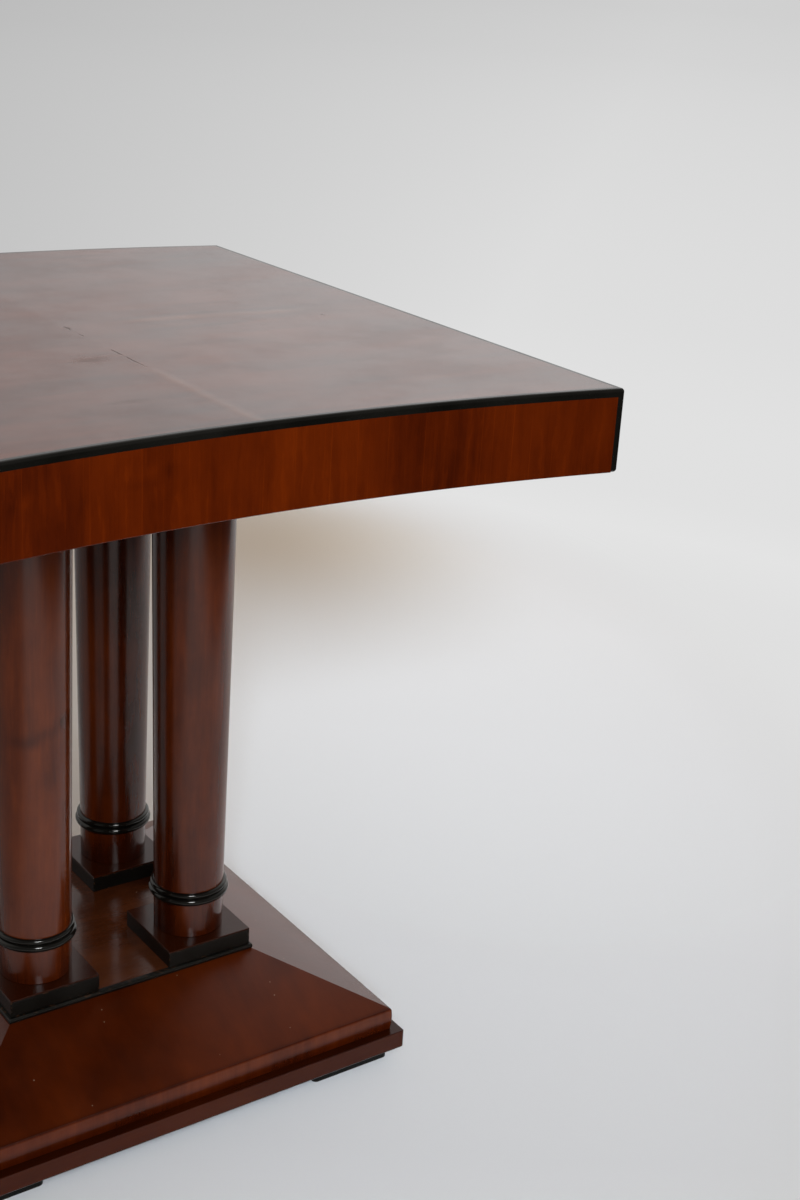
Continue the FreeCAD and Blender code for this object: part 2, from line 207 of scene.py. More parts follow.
# Axes that the fibres follow: along a board, up a post, and up a face to the front or to the side
ALONG_X = (True, False, False)
ALONG_Z = (False, False, True)
UP_FRONT = (False, True, True)
UP_SIDE = (True, False, True)

# Layers of the figure: feature lengths in metres along and across the grain, detail and roughness of
# the noise, and gain, which is the change of tone or the shift in metres at full strength
Layer = namedtuple("Layer", "along across detail rough gain", defaults=(1.0,))
DRIFT = Layer(0.25, 0.09, 2.0, 0.5, 0.03)
FLAME = Layer(0.011, 0.016, 3.0, 0.5, 0.003)
BANDS = Layer(0.42, 0.055, 1.0, 0.5, 0.55)
STREAKS = Layer(0.16, 0.0085, 3.0, 0.55, 0.50)
FIBRES = Layer(0.03, 0.0011, 2.0, 0.6, 0.20)
PORES = Layer(0.012, 0.0005, 1.0, 0.5, -0.05)
CLOUDS = Layer(0.11, 0.07, 4.0, 0.55, 0.45)
MOTTLE = Layer(0.045, 0.028, 4.0, 0.6, 0.55)
LICKS = Layer(0.06, 0.0060, 2.0, 0.5)
LINES = Layer(0.30, 0.0017, 2.0, 0.6)
SMEARS = Layer(0.09, 0.09, 4.0, 0.6)
WAVES = Layer(0.12, 0.12, 1.0, 0.5)

# Bounds on the noise between which a feature sets in
MIDDLE_BOUNDS = (0.3, 0.7)
PORE_BOUNDS = (0.60, 0.72)
LICK_PALE = (0.54, 0.68)
LICK_DUSK = (0.44, 0.30)
LINE_PALE = (0.60, 0.74)
LINE_DUSK = (0.36, 0.24)
PALE_GAIN = 0.14
DUSK_GAIN = 0.08
RIPPLE_TURNS = 42.0
RIPPLE_GAIN = 0.018

# Relief of fibres and pores, and the depths of the grain, the marks and the waves of the surface
FIBRE_RELIEF = 0.25
PORE_RELIEF = 0.5
GRAIN_DEPTH = 0.03 * MM
MARK_DEPTH = 0.5 * MM
WAVE_DEPTH = 0.6 * MM

# Small nicks: cells to the metre with one place each, the radius in cells, and colours
NICK_CELLS = 60.0
NICK_EDGE = (0.030, 0.045)
NICK_STRENGTH = 0.4
PALE_NICK = (0.45, 0.33, 0.25)
DARK_NICK = (0.010, 0.004, 0.002)

# Colours of the wood by tone, as shares of its middle colour, and the strengths of a plain figure
MIDDLE_TONE = 0.5
TONE_STOPS = (
    (0.00, (0.30, 0.26, 0.30)),
    (0.25, (0.62, 0.58, 0.60)),
    (MIDDLE_TONE, WHITE),
    (0.75, (1.38, 1.48, 1.60)),
    (1.00, (1.75, 2.05, 2.50)),
)
PLAIN_FIGURE = {
    "bands": 1.0, "streaks": 1.0, "fibres": 1.0, "clouds": 1.0, "mottle": 0.0, "licks": 0.0, "lines": 0.0,
}


def grown(graph, place, grain, layer, output=0):
    """Noise of a layer, drawn out along the axes that the grain follows."""
    pitch = tuple(layer.along if flag else layer.across for flag in grain)
    return graph.noise(place, pitch, layer.detail, layer.rough, output)


def bend_grain(graph, place, grain, flame):
    """Places shifted across the grain, so that the figure sways, and flickers with the flame."""
    bent = place
    for layer, strength in ((DRIFT, 1.0), (FLAME, flame)):
        if strength:
            reach = tuple(0.0 if flag else layer.gain * strength for flag in grain)
            drawn = graph.vector("SUBTRACT", grown(graph, place, grain, layer, "Color"), HALF)
            bent = graph.vector("ADD", bent, graph.vector("MULTIPLY", drawn, reach))
    return bent


def pale_and_dusk(graph, value, pale_bounds, dusk_bounds, strength):
    """Higher tone where a value is high, and lower tone where it is low."""
    pale = graph.fit(value, *pale_bounds, 0.0, PALE_GAIN * strength)
    dusk = graph.fit(value, *dusk_bounds, 0.0, DUSK_GAIN * strength)
    return graph.math("SUBTRACT", pale, dusk)


def figure_tone(graph, grain, raw, place, bent, strengths):
    """Tone of the figure, about 0, and the fibres and pores that also shape the relief."""
    band = grown(graph, bent, grain, BANDS)
    ripple = graph.math("SINE", graph.product(band, RIPPLE_TURNS))
    streak = grown(graph, bent, grain, STREAKS)
    fibre = grown(graph, bent, grain, FIBRES)
    pore = graph.fit(grown(graph, bent, grain, PORES), *PORE_BOUNDS)
    cloud = grown(graph, raw, grain, CLOUDS)
    tones = [
        graph.centred(band, BANDS.gain * strengths["bands"]),
        graph.product(ripple, RIPPLE_GAIN * strengths["bands"]),
        graph.centred(streak, STREAKS.gain * strengths["streaks"]),
        graph.centred(fibre, FIBRES.gain * strengths["fibres"]),
        graph.centred(cloud, CLOUDS.gain * strengths["clouds"]),
        graph.product(pore, PORES.gain * strengths["fibres"]),
    ]
    if strengths["licks"]:
        lick = grown(graph, bent, grain, LICKS)
        tones.append(pale_and_dusk(graph, lick, LICK_PALE, LICK_DUSK, strengths["licks"]))
    if strengths["lines"]:
        line = grown(graph, place, grain, LINES)
        tones.append(pale_and_dusk(graph, line, LINE_PALE, LINE_DUSK, strengths["lines"]))
    if strengths["mottle"]:
        blotch = grown(graph, raw, grain, MOTTLE)
        tones.append(graph.centred(blotch, MOTTLE.gain * strengths["mottle"]))
    return graph.joined("ADD", tones), fibre, pore


def nick_spots(graph, raw, share):
    """Small round nicks in the given share of the cells."""
    cell = graph.add("TexVoronoi", {"Vector": raw, "Scale": NICK_CELLS})
    spot = graph.fit(cell.outputs["Distance"], *NICK_EDGE, 1.0, 0.0)
    draw = graph.axes(cell.outputs["Color"])["X"]
    return graph.product(spot, graph.math("LESS_THAN", draw, share))


def wood(name, grain, mid, shine, rough, tint=WHITE, matched=False, flame=0.0, shades=(), painted_level_shade=None,
         marks=None, nicks=0.0, nick_colour=PALE_NICK, **figure):
    """Polished wood. grain flags the axes that the fibres follow, mid is the middle colour, rough the
    bounds of the roughness, and figure the strengths that differ from PLAIN_FIGURE. matched mirrors the
    figure about the middle lines, as in leaves laid out from one bundle. A shade is a soft darker place,
    or a paler one if its depth is below 0: centre, reach and depth; some of the shades passed in are
    painted shade and painted light. The level shade is painted shade that darkens the wood at one level
    and fades out at a second: levels and depth. nicks is the share of cells with a small nick."""
    material, graph, raw = new_material(name)
    place = graph.vector("ABSOLUTE", raw) if matched else raw
    bent = bend_grain(graph, place, grain, flame)
    tone, fibre, pore = figure_tone(graph, grain, raw, place, bent, {**PLAIN_FIGURE, **figure})
    # Painted shade that darkens the wood towards a level
    if painted_level_shade:
        full, none, depth = painted_level_shade
        tone = graph.math("SUBTRACT", tone, graph.fit(graph.axes(raw)["Z"], full, none, depth, 0.0))
    # Darker and paler places, some of them painted shade and painted light
    for centre, reach, depth in shades:
        spot = graph.product(graph.bell(graph.distance(bent, centre, reach)), depth)
        tone = graph.math("SUBTRACT", tone, spot)
    tone = graph.math("ADD", tone, MIDDLE_TONE, clamp=True)
    stops = [(at, tuple(part * gain for part, gain in zip(mid, gains))) for at, gains in TONE_STOPS]
    colour = graph.ramp(tone, stops)
    height = graph.math("SUBTRACT", graph.product(fibre, FIBRE_RELIEF), graph.product(pore, PORE_RELIEF))
    if nicks:
        nick = nick_spots(graph, raw, nicks)
        colour = graph.mix(graph.product(nick, NICK_STRENGTH), colour, nick_colour)
        height = graph.math("SUBTRACT", height, nick)
    gloss = graph.fit(grown(graph, raw, grain, SMEARS), *MIDDLE_BOUNDS, *rough)
    normal = graph.bump(grown(graph, raw, grain, WAVES), WAVE_DEPTH)
    if marks:
        colour, gloss, relief = marks(graph, raw, colour, gloss)
        normal = graph.bump(relief, MARK_DEPTH, normal)
    normal = graph.bump(height, GRAIN_DEPTH, normal)
    polished(graph, colour, gloss, normal, shine, tint)
    return material


# Black wood
BLACK_CLOUDS = Layer(0.05, 0.05, 3.0, 0.5)
BLACK_FIBRES = Layer(0.004, 0.004, 3.0, 0.5)
RUBBING = Layer(0.003, 0.006, 4.0, 0.65)
RUBBED_BOUNDS = (0.54, 0.66)
RUBBED_EDGE = (0.3, 1.0)
RUBBED_STRENGTH = 0.75
RUBBED_BROWN = (0.050, 0.022, 0.010)
DEEP_BLACK = (0.0030, 0.0028, 0.0022)
SOFT_BLACK = (0.0068, 0.0063, 0.0050)
BLACK_POLISH = (1.0, 0.95, 0.87)


def black(name, shine, rough=(0.16, 0.26)):
    """Ebonised wood: black, with a trace of fibre, rubbed through to brown along worn edges."""
    material, graph, raw = new_material(name)
    cloud = grown(graph, raw, ALONG_Z, BLACK_CLOUDS)
    colour = graph.ramp(cloud, tuple(zip(MIDDLE_BOUNDS, (DEEP_BLACK, SOFT_BLACK))))
    edge = graph.add("Attribute", attribute_name="arris").outputs["Fac"]
    rubbed = graph.fit(grown(graph, raw, ALONG_Z, RUBBING), *RUBBED_BOUNDS)
    worn = graph.product(rubbed, graph.fit(edge, *RUBBED_EDGE), RUBBED_STRENGTH)
    colour = graph.mix(worn, colour, RUBBED_BROWN)
    gloss = graph.fit(cloud, *MIDDLE_BOUNDS, *rough)
    normal = graph.bump(grown(graph, raw, ALONG_Z, BLACK_FIBRES), GRAIN_DEPTH)
    polished(graph, colour, gloss, normal, shine, BLACK_POLISH)
    return material


# Seams between the leaves of the top, from the frame's own outline
top_half = cad_high.x
lip_thick = top_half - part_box("top_veneer_front_right")[1].x
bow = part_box("lipping_front")[1].y - lip_thick + cad_high.y
curve_radius = (top_half ** 2 + bow ** 2) / (2.0 * bow)
seam_centre = bow / 2.0 - curve_radius

# Marks on the top: cracks and raised ridges along the seams, the ridges with a painted pale highlight,
# dark stains, and duller leaves on the left
TOP_Z = cad_high.z
SEAM_WANDER = Layer(0.03, 0.03, 4.0, 0.5, 0.004)
CRACK_PATCHES = Layer(0.03, 0.03, 3.0, 0.5)
CRACK_BOUNDS = (0.46, 0.56)
CRACK_EDGE = (0.2 * MM, 0.9 * MM)
CRACK_MIDDLE = (0.0, -0.055, TOP_Z)
CRACK_REACH = (0.05, 0.10)
CRACK_RELIEF = 0.5
RIDGE_PATCHES = Layer(0.05, 0.05, 3.0, 0.5)
RIDGE_BOUNDS = (0.36, 0.62, 0.45, 1.0)
MIDDLE_RIDGE_WIDE = 9.0 * MM
MIDDLE_RIDGE_START = (-0.13, -0.17, 0.0, 0.7)
CURVE_RIDGE_WIDE = 13.0 * MM
CURVE_RIDGE_START = (0.05, 0.09)
CURVE_RIDGE_END = (0.19, 0.26, 1.0, 0.15)
RIDGE_HIGHLIGHT_STRENGTH = 0.42
RIDGE_HIGHLIGHT_COLOUR = (0.24, 0.095, 0.045)
RIDGE_RELIEF = 0.35
STAIN_RAGS = (0.012, 0.008, 0.02)
STAIN_RAG_DETAIL = 4.0
STAIN_RAG_ROUGH = 0.7
STAIN_RAG_GAIN = 2.4
STAIN_EDGE = (0.2, 1.1)
STAIN_STRENGTH = 0.9
STAIN_COLOUR = (0.016, 0.004, 0.001)
STAIN_DULLNESS = 0.3
LEFT_DULLNESS = 0.035
LEAF_EDGE = 4.0 * MM
TOP_STAINS = (
    ((0.001, 0.009, TOP_Z), (0.003, 0.007, 1.0), 0.7),
    ((-0.032, -0.103, TOP_Z), (0.020, 0.012, 1.0), 0.28),
    ((-0.064, -0.232, TOP_Z), (0.024, 0.007, 1.0), 0.22),
    ((0.246, -0.026, TOP_Z), (0.003, 0.005, 1.0), 0.6),
)


def top_marks(graph, raw, colour, gloss):
    """Seams between the four leaves: broken hairline cracks on the middle line near the crossing, a
    faint raised ridge on parts of both seams with a painted pale highlight along it, dark stains, and a
    duller polish on the left leaves."""
    axes = graph.axes(raw)
    from_seam = graph.math("SUBTRACT", axes["Y"], seam_centre)
    flat = graph.add("CombineXYZ", {"X": axes["X"], "Y": from_seam}).outputs[0]
    off_curve = graph.math("SUBTRACT", graph.vector("LENGTH", flat), curve_radius)
    wander = graph.centred(grown(graph, raw, ALONG_X, SEAM_WANDER), SEAM_WANDER.gain)
    off_middle = graph.math("ABSOLUTE", graph.math("ADD", axes["X"], wander))
    off_curve = graph.math("ABSOLUTE", graph.math("ADD", off_curve, wander))

    crack = graph.product(
        graph.fit(off_middle, *CRACK_EDGE, 1.0, 0.0),
        graph.fit(grown(graph, raw, ALONG_X, CRACK_PATCHES), *CRACK_BOUNDS),
        graph.fit(graph.distance(raw, CRACK_MIDDLE), *CRACK_REACH, 1.0, 0.0),
    )
    middle_ridge = graph.product(
        graph.fit(off_middle, 0.0, MIDDLE_RIDGE_WIDE, 1.0, 0.0),
        graph.fit(axes["Y"], *MIDDLE_RIDGE_START),
    )
    curve_ridge = graph.product(
        graph.fit(off_curve, 0.0, CURVE_RIDGE_WIDE, 1.0, 0.0),
        graph.fit(axes["X"], *CURVE_RIDGE_START),
        graph.fit(axes["X"], *CURVE_RIDGE_END),
    )
    patches = graph.fit(grown(graph, raw, ALONG_X, RIDGE_PATCHES), *RIDGE_BOUNDS)
    ridge = graph.product(graph.math("MAXIMUM", middle_ridge, curve_ridge), patches)

    dark = crack
    rags = graph.noise(raw, STAIN_RAGS, STAIN_RAG_DETAIL, STAIN_RAG_ROUGH)
    ragged = graph.centred(rags, STAIN_RAG_GAIN)
    for centre, reach, strength in TOP_STAINS:
        off_stain = graph.math("ADD", graph.distance(raw, centre, reach), ragged)
        dark = graph.math("MAXIMUM", dark, graph.fit(off_stain, *STAIN_EDGE, strength, 0.0))
    colour = graph.mix(graph.product(dark, STAIN_STRENGTH), colour, STAIN_COLOUR)
    # Painted highlight: a pale colour along the ridges, where they catch the light
    colour = graph.mix(graph.product(ridge, RIDGE_HIGHLIGHT_STRENGTH), colour, RIDGE_HIGHLIGHT_COLOUR)
    left = graph.fit(axes["X"], -LEAF_EDGE, LEAF_EDGE, LEFT_DULLNESS, 0.0)
    gloss = graph.joined("ADD", (gloss, left, graph.product(dark, STAIN_DULLNESS)))
    relief = graph.math("SUBTRACT", graph.product(ridge, RIDGE_RELIEF), graph.product(crack, CRACK_RELIEF))
    return colour, gloss, relief


# Middle colours of the woods, and hues of the polish in its reflections
APRON_MID = (0.089, 0.0102, 0.0002)
TOP_MID = (0.090, 0.0150, 0.0015)
COLUMN_MID = (0.076, 0.0118, 0.0009)
BASE_MID = (0.057, 0.0078, 0.0003)
MOULD_MID = (0.090, 0.0128, 0.0006)
BOARD_MID = (0.050, 0.0080, 0.0008)
PLATFORM_MID = (0.060, 0.0150, 0.0040)
CAP_MID = (0.026, 0.0046, 0.0006)
CORE_MID = (0.070, 0.0180, 0.0060)
WARM_POLISH = (1.0, 0.965, 0.93)
SOFT_POLISH = (1.0, 0.985, 0.965)

# Painted shade that darkens the wood towards a level: at the foot of a column, at the foot of the
# moulding, and on the ledge of the plinth at the foot of the moulding
plinth_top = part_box("plinth")[1].z
slope_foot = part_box("slope_front")[0].z
column_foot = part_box("block_cap_front_left")[1].z
COLUMN_FOOT_PAINTED_SHADE = (column_foot, column_foot + 44.0 * MM, 0.34)
MOULD_FOOT_PAINTED_SHADE = (plinth_top + 7.8 * MM, plinth_top + 14.8 * MM, 0.28)
PLINTH_TOP_PAINTED_SHADE = (plinth_top - 0.1 * MM, plinth_top - 1.0 * MM, 0.36)

# Soft darker and paler places: centre, reach along each axis, and depth
EVERYWHERE = 9.0
APRON_SHADES = (
    ((-0.094, -0.325, 0.675), (0.007, 0.03, 0.006), -0.16),
    ((-0.079, -0.325, 0.675), (0.006, 0.03, 0.005), 0.09),
    ((-0.107, -0.325, 0.666), (0.016, 0.03, 0.003), 0.06),
    ((-0.192, -0.332, 0.668), (0.005, 0.03, 0.006), -0.12),
    ((-0.203, -0.332, 0.666), (0.005, 0.03, 0.008), 0.12),
    ((0.135, -0.328, 0.660), (0.050, 0.05, 0.100), 0.12),
    ((0.310, -0.348, 0.655), (0.050, 0.05, 0.100), 0.10),
    ((-0.225, -0.335, 0.655), (0.050, 0.05, 0.100), 0.36),
)
COLUMN_SHADES = (
    ((0.045, -0.090, 0.40), (0.016, 0.020, 0.60), 0.36),
    ((-0.084, -0.117, 0.377), (0.012, 0.030, 0.006), 0.36),
    ((-0.098, -0.113, 0.370), (0.012, 0.030, 0.006), 0.36),
    ((-0.064, -0.113, 0.385), (0.010, 0.030, 0.007), 0.28),
    ((-0.079, -0.116, 0.332), (0.012, 0.030, 0.012), 0.24),
    ((-0.085, -0.113, 0.270), (0.050, 0.030, 0.120), -0.20),
    ((-0.071, -0.117, 0.510), (0.010, 0.020, 0.050), -0.22),
    ((0.088, -0.116, 0.300), (0.012, 0.020, 0.120), 0.10),
    ((0.085, -0.117, 0.470), (0.020, 0.020, 0.080), -0.12),
)
# Painted light and shade on the back right column: its front side darker, as painted shade from the front
# columns that stand before it, and paler strips near its two sides as painted warm reflection
BACK_COLUMN_PAINTED_LIGHT_AND_SHADE = (
    ((0.081, 0.060, 0.40), (0.060, 0.050, 0.80), 0.31),
    ((0.098, 0.048, 0.40), (0.012, 0.014, 0.50), -0.30),
    ((0.046, 0.075, 0.32), (0.008, 0.012, 0.40), -0.20),
)
TOP_SHADES = (
    ((0.105, 0.215, TOP_Z), (0.070, 0.030, 1.0), -0.10),
    ((0.075, 0.245, TOP_Z), (0.045, 0.008, 1.0), 0.10),
    ((0.190, 0.160, TOP_Z), (0.080, 0.014, 1.0), -0.08),
    ((0.310, 0.100, TOP_Z), (0.110, 0.300, 1.0), 0.14),
    ((0.120, 0.330, TOP_Z), (0.250, 0.090, 1.0), 0.14),
)
# Painted shade: a darker band along the shoulder where the slopes meet the moulding, which dims the bright
# line that the rounded edge shows there
SHOULDER_PAINTED_SHADE = ((0.0, 0.0, slope_foot - 0.2 * MM), (EVERYWHERE, EVERYWHERE, 1.0 * MM), 0.34)
SLOPE_SHADES = (
    SHOULDER_PAINTED_SHADE,
    ((-0.16, -0.17, 0.085), (0.11, 0.10, 0.05), 0.20),
    ((0.15, -0.20, 0.070), (0.10, 0.05, 0.05), -0.12),
    ((-0.12, -0.222, 0.060), (0.11, 0.022, 0.013), -0.16),
)

# Finishes
COLUMN_FIGURE = {"bands": 1.2, "clouds": 1.3, "mottle": 1.0, "licks": 0.6, "lines": 0.7}
SLOPE_FIGURE = {"bands": 0.6, "streaks": 0.35, "fibres": 0.5, "clouds": 1.6}
MOULD_FIGURE = {"bands": 0.8, "streaks": 0.9, "fibres": 0.6, "mottle": 0.5}

top_wood = wood("top_veneer", ALONG_X, TOP_MID, shine=0.58, rough=(0.12, 0.235), tint=SOFT_POLISH,
                matched=True, shades=TOP_SHADES, marks=top_marks,
                bands=1.3, streaks=1.2, clouds=1.8, mottle=0.6)
apron_wood = wood("apron_veneer", ALONG_Z, APRON_MID, shine=0.2, rough=(0.14, 0.2), flame=1.0,
                  shades=APRON_SHADES, bands=1.4, streaks=0.6, fibres=0.6, clouds=0.8, mottle=0.6,
                  licks=0.8, lines=1.5)
column_wood = wood("column_wood", ALONG_Z, COLUMN_MID, shine=0.47, rough=(0.13, 0.21), tint=SOFT_POLISH,
                   shades=COLUMN_SHADES, painted_level_shade=COLUMN_FOOT_PAINTED_SHADE, nicks=0.5, nick_colour=DARK_NICK,
                   **COLUMN_FIGURE)
# The back columns take a copy of the column wood that holds painted shade and painted reflection
back_column_painted_shade_wood = wood("back_column_painted_shade_wood", ALONG_Z, COLUMN_MID, shine=0.44, rough=(0.15, 0.23),
                        tint=WARM_POLISH, shades=BACK_COLUMN_PAINTED_LIGHT_AND_SHADE, painted_level_shade=COLUMN_FOOT_PAINTED_SHADE, nicks=0.5,
                        nick_colour=DARK_NICK, **COLUMN_FIGURE)
slope_front_wood = wood("slope_veneer_front", UP_FRONT, BASE_MID, shine=0.22, rough=(0.28, 0.36),
                        tint=WARM_POLISH, shades=SLOPE_SHADES, nicks=0.6, mottle=1.1, **SLOPE_FIGURE)
slope_side_wood = wood("slope_veneer_side", UP_SIDE, BASE_MID, shine=0.46, rough=(0.16, 0.24),
                       shades=(SHOULDER_PAINTED_SHADE,), nicks=0.6, mottle=0.6, **SLOPE_FIGURE)
mould_front_wood, mould_side_wood = [
    wood(name, grain, MOULD_MID, shine=0.35, rough=(0.18, 0.26), tint=WARM_POLISH,
         shades=(SHOULDER_PAINTED_SHADE,), painted_level_shade=MOULD_FOOT_PAINTED_SHADE, **MOULD_FIGURE)
    for name, grain in (("moulding_veneer_front", UP_FRONT), ("moulding_veneer_side", UP_SIDE))
]
board_wood = wood("base_veneer", ALONG_X, BOARD_MID, shine=0.19, rough=(0.14, 0.22),
                  painted_level_shade=PLINTH_TOP_PAINTED_SHADE, bands=0.5, streaks=0.4, fibres=0.6, clouds=1.2)
platform_wood = wood("platform_veneer", ALONG_X, PLATFORM_MID, shine=0.35, rough=(0.12, 0.22), nicks=0.6,
                     bands=0.6, streaks=0.5, fibres=0.6, clouds=1.8, mottle=1.0)
cap_wood = wood("block_veneer", ALONG_X, CAP_MID, shine=0.3, rough=(0.14, 0.2),
                bands=0.5, streaks=0.4, fibres=0.6, clouds=0.8)
core_wood = wood("core_board", ALONG_X, CORE_MID, shine=0.1, rough=(0.5, 0.65))
black_wood = black("black_wood", shine=0.28)
black_ring = black("black_ring", shine=0.38, rough=(0.09, 0.15))
black_edge = black("black_edge", shine=0.25, rough=(0.28, 0.4))
black_foot = black("black_foot", shine=0.12, rough=(0.3, 0.45))

# Softened edges that are finer than the frame's own sizes, how far wear reaches from them, and on
# thin boards the share of the height that it takes
ARRIS = 0.5 * MM
CLOSE = 0.06 * MM
LEAST_BEND = 0.02 * MM
WEAR_REACH = 2.2 * MM
THIN_SHARE = 0.4
SHARP_TURN = math.radians(35.0)

# Steps of round stretches, and the angle of a mitre in degrees
ARC_STEPS = 6
CORNER_STEPS = 4
TURN_STEPS = 128
MITRE_STEPS = 3
MITRE = 45.0


# Meshes
def add_piece(name, points, faces, material, nodes, arris=None):
    """A mesh piece on the table's one body, in place of the named nodes of the frame."""
    mesh = bpy.data.meshes.new(name)
    mesh.from_pydata(points, [], faces)
    mesh.validate()
    if arris is not None:
        worn = mesh.attributes.new("arris", "FLOAT", "POINT")
        worn.data.foreach_set("value", arris)
    mesh.materials.append(material)
    mesh.shade_smooth()
    mesh.set_sharp_from_angle(angle=SHARP_TURN)
    piece = bpy.data.objects.new(name, mesh)
    bpy.context.scene.collection.objects.link(piece)
    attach(piece, "root")
    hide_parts(*nodes)


def arc(centre, radius, start, end, steps=ARC_STEPS):
    """Points of an arc in a plane, from one angle to another in degrees."""
    points = []
    for step in range(steps + 1):
        angle = math.radians(start + (end - start) * step / steps)
        points.append((centre[0] + radius * math.cos(angle), centre[1] + radius * math.sin(angle)))
    return points


def turned(name, profile, axis, material, nodes, solid=False):
    """A turned piece of (radius, height) points about an upright axis: a closed profile makes a ring,
    and an open one, from the foot up, makes a solid with a flat foot and head."""
    count = len(profile)
    points = []
    for radius, height in profile:
        for step in range(TURN_STEPS):
            angle = 2.0 * math.pi * step / TURN_STEPS
            points.append((axis.x + radius * math.cos(angle), axis.y + radius * math.sin(angle), height))
    faces = []
    for level in range(count - 1 if solid else count):
        here = level * TURN_STEPS
        there = (level + 1) % count * TURN_STEPS
        for step in range(TURN_STEPS):
            after = (step + 1) % TURN_STEPS
            faces.append((here + step, here + after, there + after, there + step))
    if solid:
        faces.append(tuple(reversed(range(TURN_STEPS))))
        faces.append(tuple(range(len(points) - TURN_STEPS, len(points))))
    add_piece(name, points, faces, material, nodes)


def plan_ring(half, radius, inset):
    """Rounded square with close and wide support points beside every corner, and the wear of each."""
    ring = []
    reach = half - inset
    bend = max(radius - inset, LEAST_BEND)
    straight = reach - bend
    for quarter in range(4):
        turn = Matrix.Rotation(math.radians(90.0 * quarter), 2)
        curve = arc((straight, straight), bend, 0.0, 90.0, CORNER_STEPS)
        corner = [(Vector(point), 1.0) for point in curve]
        before = [(Vector((reach, straight - WEAR_REACH)), 0.0), (Vector((reach, straight - CLOSE)), 1.0)]
        after = [(Vector((straight - CLOSE, reach)), 1.0), (Vector((straight - WEAR_REACH, reach)), 0.0)]
        for point, wear in before + corner + after:
            ring.append((turn @ point, wear))
    return ring


def slab_levels(low_z, high_z, low_round, high_round):
    """Levels of a board from its underside to its upper face: inset, height and wear."""
    reach = min(WEAR_REACH, (high_z - low_z - low_round - high_round) * THIN_SHARE)
    levels = [(low_round + WEAR_REACH, low_z, 0.0), (low_round + CLOSE, low_z, 1.0)]
    for across, height in arc((low_round, low_round), low_round, 270.0, 180.0):
        levels.append((across, low_z + height, 1.0))
    levels.append((0.0, low_z + low_round + CLOSE, 1.0))
    levels.append((0.0, low_z + low_round + reach, 0.0))
    levels.append((0.0, high_z - high_round - reach, 0.0))
    levels.append((0.0, high_z - high_round - CLOSE, 1.0))
    for across, height in arc((high_round, -high_round), high_round, 180.0, 90.0):
        levels.append((across, high_z + height, 1.0))
    levels += [(high_round + CLOSE, high_z, 1.0), (high_round + WEAR_REACH, high_z, 0.0)]
    return levels


def slab(name, node, material, plan_radius=ARRIS, low_round=ARRIS, high_round=ARRIS):
    """A square board or block with rounded corners and softened lower and upper edges."""
    low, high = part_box(node)
    half = (high.x - low.x) / 2.0
    middle = (low + high) / 2.0
    levels = slab_levels(low.z, high.z, low_round, high_round)
    points = []
    arris = []
    for inset, height, wear in levels:
        for point, corner_wear in plan_ring(half, plan_radius, inset):
            points.append((middle.x + point.x, middle.y + point.y, height))
            arris.append(max(wear, corner_wear if inset == 0.0 else 0.0))
    count = len(points) // len(levels)
    faces = [tuple(reversed(range(count)))]
    for level in range(len(levels) - 1):
        here = level * count
        for index in range(count):
            after = (index + 1) % count
            faces.append((here + index, here + after, here + count + after, here + count + index))
    faces.append(tuple(range(len(points) - count, len(points))))
    add_piece(name, points, faces, material, [node], arris)


def frame_side(name, node, turn, profile, bend, material, worn_from=None):
    """One side of a square frame. Each (reach, height) point of the closed profile runs round a square
    of that half width with rounded corners, from one diagonal to the next; worn above a level if given."""
    points = []
    spin = Matrix.Rotation(math.radians(turn), 3, "Z")
    angles = [MITRE * step / MITRE_STEPS for step in range(MITRE_STEPS + 1)]
    stations = [(-1.0, angle) for angle in reversed(angles)] + [(1.0, angle) for angle in angles]
    for hand, angle in stations:
        for reach, height in profile:
            lean = math.radians(angle)
            x = reach - bend + bend * math.sin(lean)
            y = -(reach - bend + bend * math.cos(lean))
            points.append(spin @ Vector((hand * x, y, height)))
    count = len(profile)
    faces = [tuple(range(count))]
    for station in range(len(stations) - 1):
        here = station * count
        for index in range(count):
            after = (index + 1) % count
            faces.append((here + index, here + count + index, here + count + after, here + after))
    faces.append(tuple(reversed(range(len(points) - count, len(points)))))
    arris = None
    if worn_from is not None:
        arris = [1.0 if point.z > worn_from else 0.0 for point in points]
    add_piece(name, points, faces, material, [node], arris)


# Columns, rings, blocks and feet. The beads of a ring are given by their radii.
LOW_BEAD = 3.5 * MM
HIGH_BEAD = 2.75 * MM
HIGH_BEAD_OUT = 0.5 * MM
BEAD_MEET = 80.0
BEAD_STEPS = 14
CAP_LOW_ROUND = 0.1 * MM
CAP_HIGH_ROUND = 0.4 * MM
FOOT_CORNER = 5.0 * MM
SAME_LEVEL = 0.05 * MM


def radius_at(node, level):
    """Radius of a turned node at one of its levels, read from its points."""
    low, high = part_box(node)
    axis = (low + high) / 2.0
    reaches = [0.0]
    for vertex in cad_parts[node].data.vertices:
        if abs(vertex.co.z - level) < SAME_LEVEL:
            reaches.append(math.hypot(vertex.co.x - axis.x, vertex.co.y - axis.y))
    return max(reaches)


def shaft_ends(node):
    """Foot and head of the part of a column that shows: radius and height of each."""
    low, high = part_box(node)
    foot = (radius_at(node, column_foot), column_foot)
    head = ((high.x - low.x) / 2.0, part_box("top_panel")[0].z)
    return foot, head


def make_column(corner, axis, foot, head):
    """A tapered shaft with a softened edge at its foot."""
    shaft = [(foot[0] - ARRIS, foot[1]), (foot[0], foot[1] + ARRIS), head]
    shaft_wood = back_column_painted_shade_wood if corner.startswith("back") else column_wood
    turned("column." + corner, shaft, axis, shaft_wood, ["column_" + corner], solid=True)


